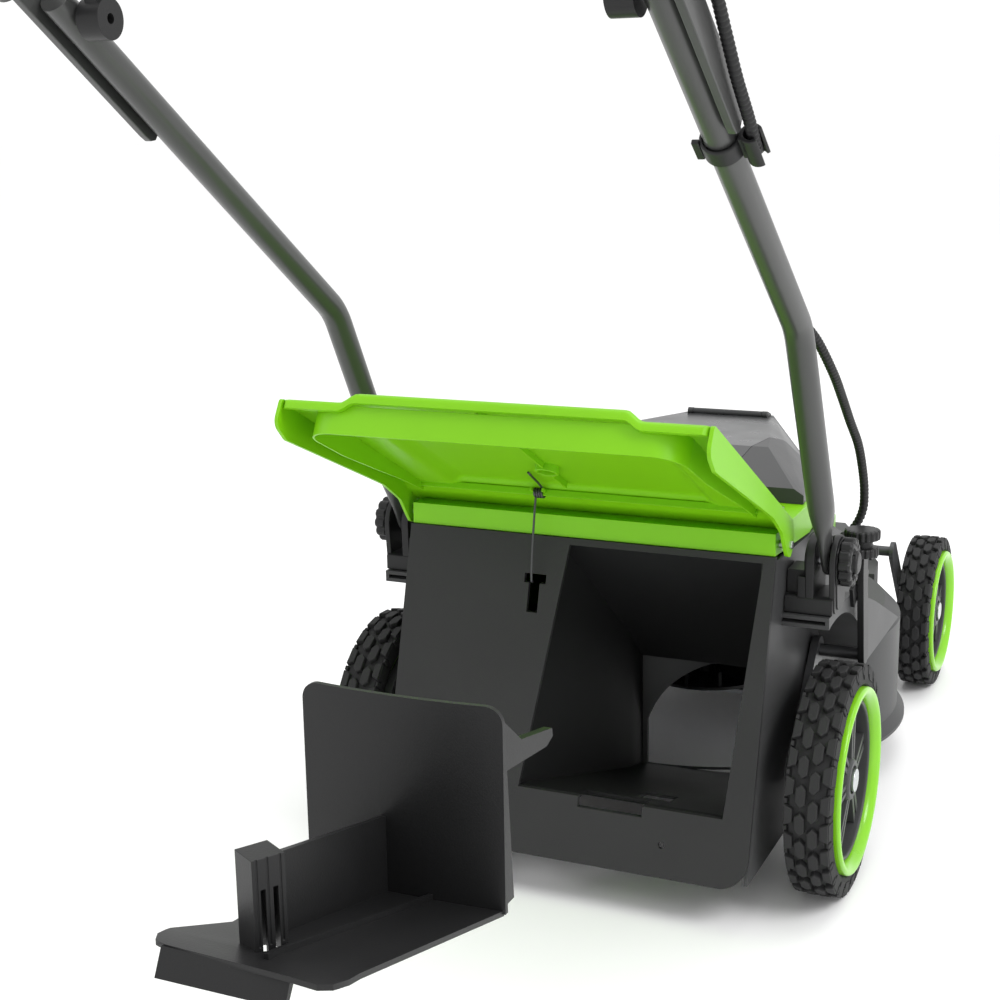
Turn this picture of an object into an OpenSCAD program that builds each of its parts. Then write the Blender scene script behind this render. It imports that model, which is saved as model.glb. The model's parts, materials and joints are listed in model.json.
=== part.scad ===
// Cordless push mower, rear flap open, mulching plug drawn out of the chute.
// +X is the mower's right, +Y is forward, +Z is up, the ground is z = 0.
// All places are given from the rear axle, and at_axle() moves them into the frame.

/* [Running gear] */
// Radius of a rear tyre
rear_tyre_r = 90; // [80:1:100]
// Radius of a front tyre
front_tyre_r = 78; // [70:1:84]
// Distance between the axles
wheelbase = 512; // [500:1:520]
// Inner face of the rear tyres, from the centre plane
rear_tyre_x = 170; // [168:1:174]
// Inner face of the front tyres, from the centre plane
front_tyre_x = 146; // [146:1:150]
// Width of a rear tyre
rear_tyre_w = 36; // [34:1:38]
// Width of a front tyre
front_tyre_w = 34; // [30:1:36]
// Radius of the wheel spindles
spindle_r = 6; // [5:0.5:7]

/* [Deck] */
// Inner radius of the blade chamber
chamber_r = 176; // [175:1:178]
// Distance from the rear axle to the motor shaft
chamber_y = 270; // [268:1:272]
// Height of the skirt's lower edge
skirt_z = 38; // [34:1:42]
// Height of the deck's top
deck_top = 148; // [147:1:150]
// Wall of the mouldings
wall = 3; // [2.5:0.5:3.5]
// Height of the sloping edge round the chamber
shoulder = 14; // [10:1:16]
// Half width of the rear body
body_half = 150; // [149:1:150]
// Half width of the nose
nose_half = 136; // [132:1:137]
// Front end of the nose, from the rear axle
nose_y = 578; // [570:1:582]

/* [Blade] */
// Length of the cutting blade
blade_len = 338; // [320:2:340]
// Width of the cutting blade
blade_w = 46; // [36:1:52]
// Height of the blade's lower face
blade_z = 56; // [50:1:60]

/* [Rear flap] */
// Angle of the open flap above the horizontal
flap_open_deg = 28; // [24:1:32]
// Length of the flap from its hinge
flap_len = 227; // [215:1:232]
// Half width of the flap
flap_half = 157; // [156:1:158]

/* [Mulching plug] */
// How far the plug is drawn out of the chute
plug_out = 530; // [400:10:560]
// Slope of the chute floor, along which the plug slides
slide_deg = 14; // [12:0.5:15]

/* [Handle] */
// Half the distance between the lower tubes' centre lines
tube_x = 178; // [177:0.5:179]
// Outer radius of the handle tubes
tube_r = 10; // [9.5:0.5:10]
// Length of the lower tube from pivot to bend
lower_len = 214; // [205:1:225]
// Length of the lower tube from bend to joint
middle_len = 345; // [335:1:350]
// Length of the upper handle from joint to grip
upper_len = 450; // [430:5:460]
// Slope of the lower tube below its bend
lower_deg = 60.7; // [59:0.1:62]
// Slope of the handle above the bend
upper_deg = 35; // [34:0.5:37]

/* [Hidden] */
$fn = 64;
rear_axle_y = 91.1;
chute_lean = 15.4;
slide_dir = [0, -cos(slide_deg), sin(slide_deg)];
sill = [-88, 84];
panel_foot = [-105, 35];
panel_head = [-40, 272];
panel_t = 4;
panel_lean = atan2(panel_head[0] - panel_foot[0], panel_head[1] - panel_foot[1]);
hole_at = [83, 58];
hinge = [-30, 279];
hinge_r = 3;
flap_gap = 16;
pivot = [0, 262];
run = 0.05;
rear_pivot = [70, 168];
front_pivot = [wheelbase - 70, 156];
rod_r = 5;
arch_r = 127;
fender_x = 186;
lid_axis = [330, 309];
front_z = front_tyre_r;
rear_z = rear_tyre_r;
lower_dir = [-cos(lower_deg), sin(lower_deg)];
upper_dir = [-cos(upper_deg), sin(upper_deg)];
bend = pivot + lower_len * lower_dir;
knuckle = bend + middle_len * upper_dir;
upper_x = tube_x + 2 * tube_r + 4;
clip_at = bend + 216 * upper_dir;
cable_r = 3.5;
cable_route = [
    [129, -736, 880], [150, -736, 881], [170, -724, 874], [182, -704, 862], [186, -674, 846],
    [186, -616, 806], [186, -550, 762], [186, -496, 728], [188, -466, 718], [191, -428, 694],
    [195, -394, 671], [198, -367, 650], [198, -345, 628], [198, -324, 606], [198, -300, 585],
    [197, -283, 571], [194, -266, 569], [186, -250, 572], [175, -234, 562], [171, -210, 542],
    [171, -180, 518], [171, -138, 489], [171, -118, 475], [172, -98, 462], [175, -82, 450],
    [181, -62, 434], [186, -34, 408], [186, -4, 386], [186, 24, 364], [187, 50, 342],
    [187, 68, 320], [187, 78, 300], [185, 84, 282], [178, 86, 267], [168, 84, 258], [161, 84, 256]];

// ---- helpers ----
module at_axle() translate([0, rear_axle_y, 0]) children();

// Draws children() in the Y-Z plane: their x becomes Y, their y becomes Z, their z becomes X
module side_view(x = 0) translate([x, 0, 0]) rotate([90, 0, 90]) children();

// Extrudes a side-view outline between two x positions
module slab(x0, x1) side_view(x0) linear_extrude(x1 - x0) children();

// A cylinder along X from x0 to x1 at [y, z]
module bar_x(p, r, x0, x1) translate([x0, p[0], p[1]]) rotate([0, 90, 0]) cylinder(r = r, h = x1 - x0);

// A copy on each side of the centre plane
module both_sides() {
    children();
    mirror([1, 0, 0]) children();
}

function unit(v) = v / norm(v);

// A straight round rod between two points of the local X-Y plane
module rod(a, b, r) {
    d = b - a;
    translate([a[0], a[1], 0]) rotate([0, 90, atan2(d[1], d[0])]) cylinder(r = r, h = norm(d));
}

// Distance from a corner to where its bend starts
function bend_cut(turn, rb) = rb * tan(turn / 2);

// A bend of radius rb at corner c, entered along angle a1 and left along angle a2
module elbow(c, a1, a2, r, rb) {
    turn = abs(a2 - a1);
    side = a2 > a1 ? 1 : -1;
    start = c - bend_cut(turn, rb) * [cos(a1), sin(a1)];
    centre = start + side * rb * [-sin(a1), cos(a1)];
    from = side > 0 ? a1 - 90 : a2 + 90;
    translate([centre[0], centre[1], 0]) rotate([0, 0, from])
        rotate_extrude(angle = turn) translate([rb, 0]) circle(r = r);
}

// Rounded bar outline between two points
module link_outline(a, b, r) {
    d = b - a;
    translate(a) circle(r = r);
    translate(b) circle(r = r);
    translate(a) rotate(atan2(d[1], d[0])) translate([0, -r]) square([norm(d), 2 * r]);
}

// ---- deck ----
module body_plan(g = 0) {
    translate([-body_half + g, -120]) square([2 * (body_half - g), 290]);
    nose_outline(g);
}

// The blade chamber's drum, grown by g, with its top edge sloping in
module chamber_drum(g, top) translate([0, chamber_y, 0]) rotate_extrude($fn = 96) polygon([[0, 0],
    [chamber_r + g, 0], [chamber_r + g, top - shoulder], [chamber_r + g - shoulder, top], [0, top]]);

// Rolled lip round the chamber's lower edge
module chamber_lip() translate([0, chamber_y, skirt_z]) {
    cylinder(r = chamber_r + 11, h = 3, $fn = 96);
    translate([0, 0, 3]) cylinder(r1 = chamber_r + 11, r2 = chamber_r + 4, h = 9, $fn = 96);
}

module nose_outline(g = 0) {
    w = nose_half - g;
    polygon([[-w, 380], [w, 380], [w - 6, 427], [98 - g, 500], [62 - g, nose_y - g], [g - 62, nose_y - g],
        [g - 98, 500], [6 - w, 427]]);
}

// Everything behind the sloping plane at a distance g in front of the rear panel's inner face
module behind_panel(g = 0) {
    shift = [cos(chute_lean), -sin(chute_lean)] * g;
    slab(-300, 300) polygon([panel_foot + shift + [-20, -73], panel_head + shift + [20, 73],
        [-400, 345], [-400, -40]]);
}

module mouth_cut() {
    translate([0, chamber_y - chamber_r - 20, 0]) rotate([-90, 0, 0]) linear_extrude(90)
        intersection() {
            translate([84, -54]) circle(r = 84);
            translate([4, -139]) square([114, 100]);
        }
}

module deck_shell() color([0.2, 0.2, 0.21]) at_axle() difference() {
    union() {
        translate([0, 0, skirt_z]) linear_extrude(deck_top - skirt_z) body_plan();
        intersection() {
            chamber_drum(4, deck_top);
            translate([-300, 0, skirt_z]) cube([600, 600, 200]);
        }
        chamber_lip();
    }
    chamber_drum(0, deck_top - 4);
    linear_extrude(deck_top - 4) difference() {
        body_plan(wall);
        translate([0, chamber_y]) circle(r = chamber_r + 4, $fn = 96);
    }
    translate([-42, -130, deck_top - 10]) cube([body_half + 38, 214, 20]);
    mouth_cut();
    behind_panel(0.2);
    translate([0, chamber_y, 0]) cylinder(r = 16, h = 200);
    for (a = [45:90:315])
        translate([0, chamber_y, 0]) rotate([0, 0, a]) translate([52, 0, 0]) cylinder(r = 2.6, h = 200);
}

module rear_housing() color([0.25, 0.25, 0.26]) at_axle() both_sides() difference() {
    union() {
        slab(body_half - wall, body_half) housing_side();
        slab(fender_x - wall, fender_x) arch_cut(arch_r) fender_outline();
        slab(body_half, fender_x) arch_cut(arch_r) difference() {
            fender_outline();
            translate([0, -wall]) fender_outline();
        }
        slab(body_half, fender_x) intersection() {
            arch_cut(arch_r) translate([0, rear_z]) circle(r = arch_r + wall);
            fender_outline();
        }
    }
    bar_x(rear_pivot, rod_r + run, body_half - 20, body_half + 10);
    behind_panel(0.2);
}

// Children with the round wheel arch cut out of them
module arch_cut(r) difference() {
    children();
    translate([0, rear_z]) circle(r = r);
}

module fender_outline() polygon([[-24, 205], [-24, 223.8], [50, 223.8], [120, 200], [144, 191],
    [222, 158], [246, deck_top + 0.2], [100, deck_top + 0.2]]);

module housing_side() polygon([[-78, deck_top], [-44, 269], [110, 264], [175, 240], [240, 206],
    [240, deck_top]]);

module rear_panel() color([0.13, 0.13, 0.14]) at_axle() difference() {
    intersection() {
        slab(-body_half, body_half) polygon([panel_foot, panel_head, panel_head + [-panel_t, 0],
            panel_foot + [-panel_t, 0]]);
        translate([0, 100, 0]) rotate([90, 0, 0]) linear_extrude(300) panel_outline();
    }
    translate([0, 100, 0]) rotate([90, 0, 0]) linear_extrude(300) {
        polygon([[-12, 267], [-36, 84], [14, 84], [14, 76], [66, 76], [66, 84], [128, 84], [141, 267]]);
        translate([-43, 214]) square([9, 28]);
        translate([-47, 236]) square([18, 7]);
    }
    hole_y = panel_foot[0] + (hole_at[1] - panel_foot[1]) * tan(panel_lean) - panel_t / 2;
    translate([hole_at[0], hole_y, hole_at[1]]) rotate([90 - panel_lean, 0, 0])
        cylinder(r = 2.5, h = 30, center = true);
}

module panel_outline() {
    r = 22;
    translate([-body_half, 35 + r]) square([2 * body_half, 240]);
    translate([-body_half + r, 35]) square([2 * (body_half - r), r + 1]);
    for (x = [-1, 1]) translate([x * (body_half - r), 35 + r]) circle(r = r);
}

// Height of the chute floor at y
function floor_z(y) = sill[1] - max(0, y - sill[0]) * tan(slide_deg);

// The chute's inner space, grown by g
module chute_space(g = 0) {
    intersection() {
        slab(-60, 160) polygon([[-130, sill[1] - g], sill - [0, g], [130, floor_z(130) - g],
            [130, 140 + g], [84, 140 + g], [-37, 267 + g], [-130, 267 + g]]);
        translate([0, 0, -10]) linear_extrude(320) polygon([[-36 - g, -120], [-36 - g, -84],
            [0 - g, 60], [0 - g, 130], [121 + g, 130], [121 + g, 60], [142 + g, -60], [142 + g, -120]]);
    }
}

module chute_tunnel() color([0.1, 0.1, 0.11]) at_axle() difference() {
    chute_space(2.5);
    chute_space(0);
    translate([0, chamber_y, -1]) cylinder(r = chamber_r + 4.2, h = 400, $fn = 96);
    behind_panel(0.2);
    translate([52, -68, 0]) cube([26, 22, 90]);
    translate([14, -96, 60]) cube([52, 20, 23.9]);
}

// ---- top cover ----
module cover_profile() polygon([[-42, 272.2], [-42, 289], [60, 291], [250, 252], [420, 192],
    [nose_y - 30, 164], [nose_y - 18, 156], [nose_y - 18, deck_top + 0.2],
    [100, deck_top + 0.2], [100, 264.6]]);

// Right half of the cover's plan outline, drawn in by g
function cover_half(g) = [[149 - g, -60], [149 - g, 60], [132 - g, 180], [104 - g, 310], [84 - g, 400],
    [70 - g, 480], [58 - g, nose_y - 30], [40, nose_y]];

module cover_plan(g = 0) {
    half = cover_half(g);
    polygon(concat(half, [for (i = [len(half) - 1:-1:0]) [-half[i][0], half[i][1]]]));
}

module top_cover() color([0.52, 0.8, 0.09]) at_axle() difference() {
    intersection() {
        slab(-160, 160) cover_profile();
        linear_extrude(400) cover_plan();
    }
    intersection() {
        slab(-160, 160) polygon([[-18, 200], [-18, 286], [60, 288], [250, 249], [420, 189],
            [nose_y - 30, 161], [nose_y - 22, 154], [nose_y - 22, 100], [103, 100]]);
        linear_extrude(400) cover_plan(3);
    }
    translate([-84, 64, 200]) cube([168, 270, 120]);
    bar_x(hinge, hinge_r, -170, 170);
    bar_x(front_pivot, rod_r + run, -170, 170);
}

// ---- motor cover, battery bay ----
// One cross-section of the motor cover at y, as half widths and heights, drawn in by g
module hood_slice(y, section, g) translate([0, y, 0]) rotate([90, 0, 0]) linear_extrude(0.1)
    polygon([[g - section[0], section[1]], [g - section[2], section[3] - g], [g - section[4], section[5] - g],
        [section[4] - g, section[5] - g], [section[2] - g, section[3] - g], [section[0] - g, section[1]]]);

module hood_body(g = 0) hull() {
    hood_slice(50 + g, [146, 270, 146, 298, 138, 303], g);
    hood_slice(142, [134, 250, 124, 290, 92, 316], g);
    hood_slice(345 - g, [92, 190, 86, 250, 41, 306], g);
    hood_slice(398 - g, [78, 180, 70, 216, 46, 236], g);
}

module lid_zone(g = 0) translate([g - 78, 84 + g, 264]) cube([156 - 2 * g, 246 - 2 * g, 80]);

module motor_cover() color([0.25, 0.25, 0.26]) at_axle() {
    difference() {
        hood_body();
        hood_body(3);
        slab(-160, 160) polygon([[-60, 100], [-60, 289.2], [60, 291.2], [250, 252.2],
            [420, 192.2], [420, 100]]);
        lid_zone();
        bar_x(lid_axis, 3.4, -34.4, 34.4);
    }
    both_sides() slab(34.4, 39.4) difference() {
        link_outline(lid_axis, [340, 305.5], 3.2);
        translate(lid_axis) circle(r = 1.5 + run);
    }
}

module battery_lid() color([0.12, 0.12, 0.13, 0.6]) at_axle() {
    difference() {
        intersection() {
            difference() {
                hood_body();
                hood_body(3);
            }
            lid_zone(0.5);
        }
        both_sides() translate([34, 325.4, 295]) cube([6, 6, 20]);
    }
    bar_x(lid_axis, 3, -34, 34);
    bar_x(lid_axis, 1.5, -39, 39);
}

module battery_tray() color([0.08, 0.08, 0.08]) at_axle() difference() {
    translate([-66, 78, 222]) cube([132, 176, 66]);
    translate([-62, 82, 226]) cube([124, 62, 90]);
    translate([-62, 148, 226]) cube([124, 102, 90]);
}

module battery_pack() color([0.14, 0.14, 0.15]) at_axle() {
    translate([-58, 152, 226.2]) cube([116, 92, 58]);
    translate([-30, 166, 284]) cube([60, 20, 5]);
}

module safety_key() color([0.75, 0.1, 0.08]) at_axle() {
    translate([-10, 106, 226.2]) cube([20, 8, 62]);
    translate([-14, 98, 288.2]) cube([28, 24, 8]);
}

module controller_board() color([0.05, 0.3, 0.12]) at_axle() translate([-62, 50, 198]) {
    cube([124, 90, 2]);
    for (x = [12, 40, 68, 96]) translate([x, 50, 2]) cylinder(r = 7, h = 14);
}

module motor_can() color([0.6, 0.6, 0.62]) at_axle() translate([0, chamber_y, 0]) difference() {
    union() {
        translate([0, 0, deck_top]) cylinder(r = 58, h = 5);
        translate([0, 0, deck_top + 5]) cylinder(r = 46, h = 52);
    }
    translate([0, 0, deck_top - 1]) cylinder(r = 8 + run, h = 50);
    for (a = [45:90:315]) rotate([0, 0, a]) translate([52, 0, deck_top - 1]) cylinder(r = 2.6, h = 7);
}

module motor_shaft() color([0.7, 0.7, 0.72]) at_axle() translate([0, chamber_y, 0]) {
    translate([0, 0, blade_z + 4]) cylinder(r = 8, h = deck_top + 40 - blade_z);
}

module cooling_fan() color([0.12, 0.12, 0.12]) at_axle() translate([0, chamber_y, 0]) difference() {
    union() {
        translate([0, 0, blade_z + 4]) cylinder(r = 24, h = 8);
        translate([0, 0, blade_z + 12]) cylinder(r = 62, h = 3);
        for (a = [0:30:330]) rotate([0, 0, a]) translate([22, -1.5, blade_z + 15]) cube([38, 3, 14]);
        translate([0, 0, blade_z + 12]) cylinder(r = 15, h = 22);
    }
    translate([0, 0, blade_z]) cylinder(r = 8, h = 60);
}

module blade() color([0.55, 0.56, 0.58]) at_axle() translate([0, chamber_y, blade_z]) difference() {
    union() {
        translate([-blade_len / 2, -blade_w / 2, 0]) cube([blade_len, blade_w, 4]);
        for (a = [0, 180]) rotate([0, 0, a]) translate([blade_len / 2 - 62, -blade_w / 2, 3.5])
            rotate([28, 0, 0]) cube([60, 3, 16]);
    }
    translate([0, 0, -1]) cylinder(r = 5.2, h = 8);
    for (a = [0, 180]) rotate([0, 0, a]) translate([blade_len / 2 - 70, blade_w / 2, 0])
        rotate([35, 0, 0]) translate([0, -14, -12]) cube([80, 30, 10]);
}

module blade_bolt() color([0.65, 0.66, 0.68]) at_axle() translate([0, chamber_y, blade_z]) {
    translate([0, 0, -8]) cylinder(r = 9, h = 6, $fn = 6);
    translate([0, 0, -2]) cylinder(r = 15, h = 2);
    cylinder(r = 5, h = 4);
}

// ---- rear flap: local y runs out along the open flap, local z points to its underside ----
module flap_frame() translate([0, hinge[0], hinge[1]]) rotate([180 - flap_open_deg, 0, 0])
    translate([0, 0, -flap_gap]) children();

// Outline of the flap, drawn in by g
module flap_plan(g = 0) {
    near = 156 - g;
    far = flap_half - g;
    polygon([[-near, 0], [near, 0], [far, flap_len - 16], [far - 6, flap_len - g],
        [6 - far, flap_len - g], [-far, flap_len - 16]]);
}

module flap_skirt() polygon([[-4, 1], [-4, 7], [34, 13], [flap_len - 30, 19], [flap_len, 17],
    [flap_len, 1]]);

module flap_arm() link_outline([0, flap_gap], [24, 7], 9);

module rear_flap() color([0.52, 0.8, 0.09]) at_axle() flap_frame() {
    difference() {
        union() {
            translate([0, 0, -3]) linear_extrude(3) flap_plan();
            difference() {
                intersection() {
                    translate([0, 0, -3]) linear_extrude(24) flap_plan();
                    slab(-170, 170) flap_skirt();
                }
                translate([0, 0, -4]) linear_extrude(30) flap_plan(3);
                translate([-200, -1, -4]) cube([400, 1, 30]);
            }
            translate([-104, 120, -8]) cube([208, flap_len - 120, 5.01]);
            flap_ribs();
            both_sides() slab(151, 156) flap_arm();
        }
        both_sides() bar_x([0, flap_gap], hinge_r + run, 140, 170);
        translate([-160, -40, -6]) cube([320, 36, 10]);
    }
}

module flap_ribs() {
    for (x = [-144, 141]) translate([x, 30, -0.01]) cube([3, flap_len - 60, 6]);
    translate([-8.5, 20, -0.01]) cube([2, flap_len - 26, 4]);
    translate([-140, 34, -0.01]) cube([280, 2, 5]);
    translate([-140, 58, -0.01]) cube([280, 2, 3]);
    translate([-7.5, 118, -0.01]) difference() {
        cylinder(r = 9, h = 5);
        translate([0, 0, -1]) cylinder(r = 6.5, h = 7);
    }
}

module flap_hinge_rod() color([0.7, 0.7, 0.72]) at_axle() bar_x(hinge, hinge_r, -159, 159);

// Coils on the flap's underside with two legs that reach down to the slot in the panel
module flap_spring() color([0.6, 0.6, 0.62]) at_axle() {
    coil = [-48, 284];
    for (x = [-50:2.4:-26]) translate([x, coil[0], coil[1]]) rotate([0, 90, 0])
        rotate_extrude() translate([3.6, 0]) circle(r = 1.3, $fn = 16);
    for (x = [-45, -33]) translate([x, coil[0] - 3.6, coil[1]]) rotate([171, 0, 0])
        cylinder(r = 1, h = 44, $fn = 16);
}

// ---- mulching plug, drawn where it sits in the chute and then slid out ----
module drawn_out() translate(plug_out * slide_dir) children();

module plug_plate_plan() translate([58, 448]) difference() {
    circle(r = 400, $fn = 200);
    circle(r = 397, $fn = 200);
}

module mulch_plug() color([0.09, 0.09, 0.1]) at_axle() drawn_out() {
    difference() {
        union() {
            intersection() {
                translate([0, 0, 51]) linear_extrude(120) plug_plate_plan();
                plug_face();
            }
            slab(117, 120.4) polygon([[53.4, 56], [53.4, 150], [56, 150], [64, 56]]);
            plug_floor();
            plug_fold();
            plug_rib();
            slab(18, 88) polygon([[-101, 89.4], [-105, 90], [-111.5, 77], [-109, 76]]);
            plug_horn();
        }
        latch_place() translate([-8.5, -8.5, 30]) cube([17, 17, 120]);
    }
}

// Front outline of the closing plate, with rounded top corners
module plug_face() translate([0, 80, 0]) rotate([90, 0, 0]) linear_extrude(50) {
    translate([2, 40]) square([118.4, 116]);
    translate([12, 156]) square([98.4, 10]);
    for (x = [12, 110.4]) translate([x, 156]) circle(r = 10);
}

module plug_floor() intersection() {
    slab(0, 130) polygon([[54, floor_z(54) + 4], sill + [0, 4], [-112, 92], [-112, 89], sill + [0, 1],
        [54, floor_z(54) + 1]]);
    linear_extrude(200) polygon([[19, -104], [88, -108], [104, -110], [110, -106], [113, -97], [119, 54],
        [4, 54], [24, -56], [8, -84], [8, -94], [12, -101]]);
}

// Raised fold along the floor, from the latch to the closing plate
module plug_fold() intersection() {
    slab(60, 90) polygon([[53, floor_z(53) + 2], [53, floor_z(53) + 7], sill + [0, 7], [-98, 92.5],
        [-98, 87]]);
    linear_extrude(200) polygon([[68, -96], [70.5, -96], [80, 52.6], [77.5, 52.6]]);
}

module plug_rib() slab(50, 53) polygon([[-74, 84], [-74, 126], [50, 97], [50, 53]]);

// Deflector on the far side of the plate
module plug_horn() slab(112, 117) polygon([[53.5, 128], [53.5, 152], [62, 155], [84, 137.5], [126, 129],
    [127, 124], [118, 121]]);

module latch_place() translate([57.5, -79.5, 0]) rotate([0, 0, -30]) children();

module plug_latch() color([0.1, 0.1, 0.11]) at_axle() drawn_out() latch_place() difference() {
    translate([-8.5, -8.5, 85.4]) cube([17, 17, 48]);
    translate([-6, -6, 80]) cube([12, 12, 50]);
    for (y = [-4.5, 2]) translate([4, y, 80]) cube([6, 2.5, 38]);
    for (y = [-6.6, -1, 5.6]) translate([7.9, y, 90]) cube([2, 1, 50]);
}

// ---- wheels: local z runs outwards from the tyre's inner face ----
module wheel_at(x, y, z) translate([x, y, z]) rotate([0, 90, 0]) children();

module tyre_body(r, rim, w) color([0.1, 0.1, 0.1]) rotate_extrude($fn = 96) polygon([[rim, 3],
    [r - 6, 0], [r - 2, 2], [r, 7], [r, w - 7], [r - 2, w - 2], [r - 6, w], [rim + 2.6, w - 1],
    [rim + 2.6, w - 4], [rim, w - 5]]);

module front_tyre_body() tyre_body(front_tyre_r, front_rim, front_tyre_w);

module rim_body(rim, w) color([0.6, 0.95, 0.1]) rotate_extrude($fn = 96) polygon([[rim - 0.1, 5],
    [rim - 0.1, w - 4], [rim + 2.4, w - 2], [rim + 2.4, w + 4], [rim, w + 6], [rim - 4, w + 4],
    [rim - 13, w - 3], [rim - 13, w - 8], [rim - 4, w - 8], [rim - 4, 5]]);

module hub_body(rim, w) color([0.25, 0.25, 0.26]) difference() {
    union() {
        difference() {
            cylinder(r = rim - 13, h = w - 4, $fn = 96);
            translate([0, 0, -1]) cylinder(r = rim - 17, h = w);
        }
        cylinder(r = 17, h = w - 3);
        for (a = [20:60:320]) rotate([0, 0, a]) translate([13, -4.5, 5]) cube([rim - 28.5, 9, w - 14]);
        translate([0, 0, 6]) cylinder(r = rim - 14.6, h = 3);
    }
    translate([0, 0, -1]) cylinder(r = spindle_r + 0.08, h = w);
    translate([0, 0, w - 7]) cylinder(r = 10.5, h = 6);
}

rear_rim = rear_tyre_r - 20;
front_rim = front_tyre_r - 17;

module rear_wheel(side) mirror([side < 0 ? 1 : 0, 0, 0]) at_axle()
    wheel_at(rear_tyre_x, 0, rear_z) children();
module front_wheel(side) mirror([side < 0 ? 1 : 0, 0, 0]) at_axle()
    wheel_at(front_tyre_x, wheelbase, front_z) children();

module wheel_nuts(x, w, p) color([0.7, 0.7, 0.72]) at_axle() both_sides()
    bar_x(p, 9, x + w - 6.8, x + w - 1);

// ---- height adjustment ----
module rear_axle() color([0.35, 0.35, 0.37]) at_axle() {
    bar_x(rear_pivot, rod_r, -(body_half + 4), body_half + 42);
    both_sides() {
        slab(body_half + 2, body_half + 8) link_outline(rear_pivot, [0, rear_z], 11);
        bar_x([0, rear_z], spindle_r, body_half + 5, rear_tyre_x + rear_tyre_w - 6.9);
        bar_x([0, rear_z], 3, body_half + 5, rear_tyre_x + rear_tyre_w - 6.8);
    }
}

module front_axle() color([0.35, 0.35, 0.37]) at_axle() {
    bar_x(front_pivot, rod_r, -(nose_half + 5), nose_half + 5);
    both_sides() {
        slab(nose_half + 3, nose_half + 7) link_outline(front_pivot, [wheelbase, front_z], 10);
        bar_x([wheelbase, front_z], spindle_r, nose_half + 5, front_tyre_x + front_tyre_w - 6.9);
        bar_x([wheelbase, front_z], 3, nose_half + 5, front_tyre_x + front_tyre_w - 6.8);
    }
}

lever_top = [58, 240];
module height_lever() color([0.12, 0.12, 0.13]) at_axle() difference() {
    union() {
        slab(189.4, 194.6) link_outline(rear_pivot, lever_top, 8);
        translate([189.4, lever_top[0] - 8, lever_top[1]]) cube([5.2, 16, 12]);
    }
    bar_x(rear_pivot, rod_r, 180, body_half + 42);
}

module height_knob() color([0.1, 0.1, 0.11]) at_axle() translate([191, lever_top[0], lever_top[1] + 12]) {
    cylinder(r = 13, h = 8);
    translate([0, 0, 8]) cylinder(r = 8, h = 5);
    translate([0, 0, 13]) cylinder(r = 14, h = 9);
}

module height_quadrant() color([0.16, 0.16, 0.17]) at_axle() difference() {
    slab(fender_x, fender_x + 3) intersection() {
        difference() {
            translate(rear_pivot) circle(r = 68);
            translate(rear_pivot) circle(r = 50);
        }
        polygon([rear_pivot, rear_pivot + [-45, 90], rear_pivot + [40, 90]]);
    }
    for (a = [74:10:110]) bar_x(rear_pivot + 59 * [cos(a), sin(a)], 3, fender_x - 1, fender_x + 4);
}

// ---- handle ----
module bracket_shape() color([0.11, 0.11, 0.12]) at_axle() difference() {
    union() {
        slab(tube_x - 12, tube_x - 5.5) bracket_outline();
        slab(tube_x + 5.5, tube_x + 11) bracket_outline();
        translate([body_half, -20, 224]) cube([tube_x + 11 - body_half, 40, 14]);
        translate([body_half, -14, 238]) cube([16.5, 28, 20]);
    }
    bar_x(pivot, 4 + run, body_half - 10, tube_x + 30);
}

module bracket_outline() {
    translate(pivot) circle(r = 20);
    translate([-20, 224]) square([40, 38]);
}

module pivot_bolts() color([0.6, 0.6, 0.62]) at_axle() both_sides()
    bar_x(pivot, 4, tube_x - 11.5, tube_x + 16);

module pivot_knob_shape() color([0.1, 0.1, 0.11]) at_axle() difference() {
    union() {
        bar_x(pivot, 17, tube_x + 11.3, tube_x + 21);
        for (a = [0:30:330]) bar_x(pivot + 16 * [cos(a), sin(a)], 3, tube_x + 12, tube_x + 20);
        bar_x(pivot, 9, tube_x + 21, tube_x + 24);
    }
    bar_x(pivot, 4 + run, tube_x, tube_x + 16 + run);
    for (a = [90:120:330]) bar_x(pivot + 11 * [cos(a), sin(a)], 2.2, tube_x + 17, tube_x + 30);
}

module lower_tube_side() color([0.3, 0.3, 0.31]) at_axle() side_view(tube_x) difference() {
    union() {
        rod(pivot + 30 * lower_dir, bend, tube_r);
        translate([bend[0], bend[1], 0]) rotate([0, 0, 42]) sphere(r = tube_r + 0.4);
        rod(bend, knuckle + 20 * upper_dir, tube_r);
        translate([0, 0, -4.5]) linear_extrude(9) link_outline(pivot, pivot + 40 * lower_dir, 11);
    }
    translate([pivot[0], pivot[1], -20]) cylinder(r = 4 + run, h = 40);
    translate([knuckle[0], knuckle[1], -20]) cylinder(r = 3 + run, h = 40);
}

module joint_bolts() color([0.75, 0.75, 0.77]) at_axle() both_sides()
    bar_x(knuckle, 3, tube_x - 16, tube_x + tube_r + 9);

module cam_lever_shape() color([0.09, 0.09, 0.1]) at_axle() difference() {
    union() {
        bar_x(knuckle, 12, tube_x - tube_r - 16, tube_x - tube_r - 0.5);
        slab(tube_x - tube_r - 13, tube_x - tube_r - 5)
            link_outline(knuckle, knuckle + 52 * [cos(100), sin(100)], 7);
    }
    bar_x(knuckle, 3 + run, tube_x - 40, tube_x);
}

// Children are drawn in the plane of the upper handle: x across, y up along its slope
module handle_plane() translate([0, knuckle[0], knuckle[1]]) rotate([180 - upper_deg, 0, 0]) children();

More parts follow.
